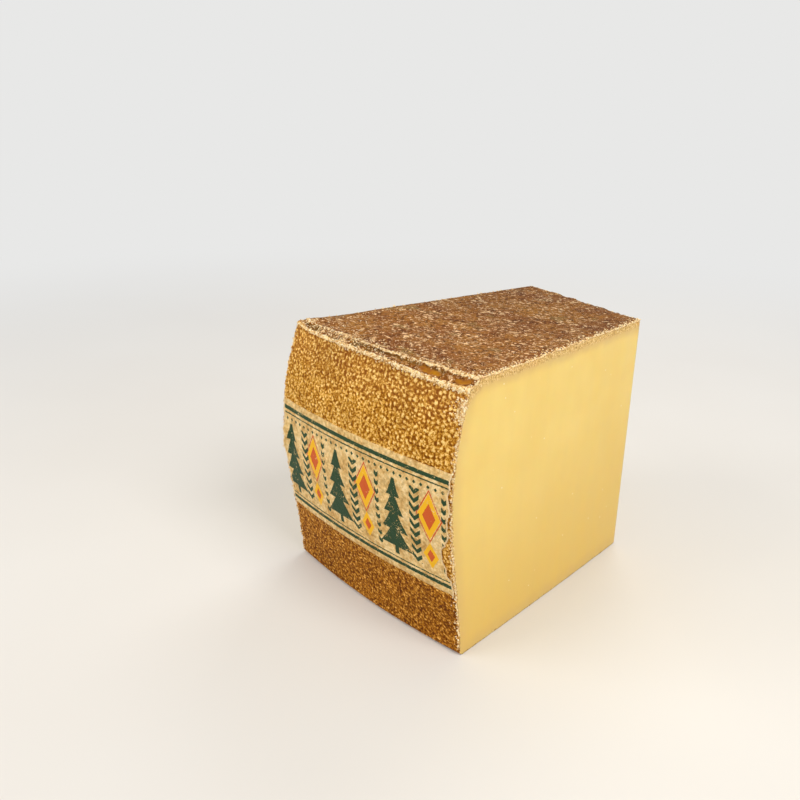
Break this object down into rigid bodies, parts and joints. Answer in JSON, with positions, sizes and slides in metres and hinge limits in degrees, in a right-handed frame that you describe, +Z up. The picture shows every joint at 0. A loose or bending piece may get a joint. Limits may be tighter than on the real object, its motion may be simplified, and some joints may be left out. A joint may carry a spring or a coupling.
{
  "type": "comte cheese",
  "caption": "Block cut from a pressed hard-cheese wheel: bowed rind heel with a torn label band, a hollow shoulder under the top rind, and smooth cut faces of paste.",
  "frame": {"origin": "middle of the block's bounding box, on the face that the block rests on", "axes": "+Z up through the wheel's height, -Y out of the heel, +X along the heel towards its right end as seen from in front"},
  "size_m": [0.0936, 0.1346, 0.1],
  "materials": {
    "cheese_paste": "satin pale yellow paste, with a dry pebbled brown rind on the heel, the top and the bottom",
    "label_paper": "matt cream label pressed into the rind, with a worn print in green, yellow and red"
  },
  "bodies": {
    "root": {"cheese_block": "cheese_paste", "heel_label": "label_paper"}
  },
  "joints": []
}
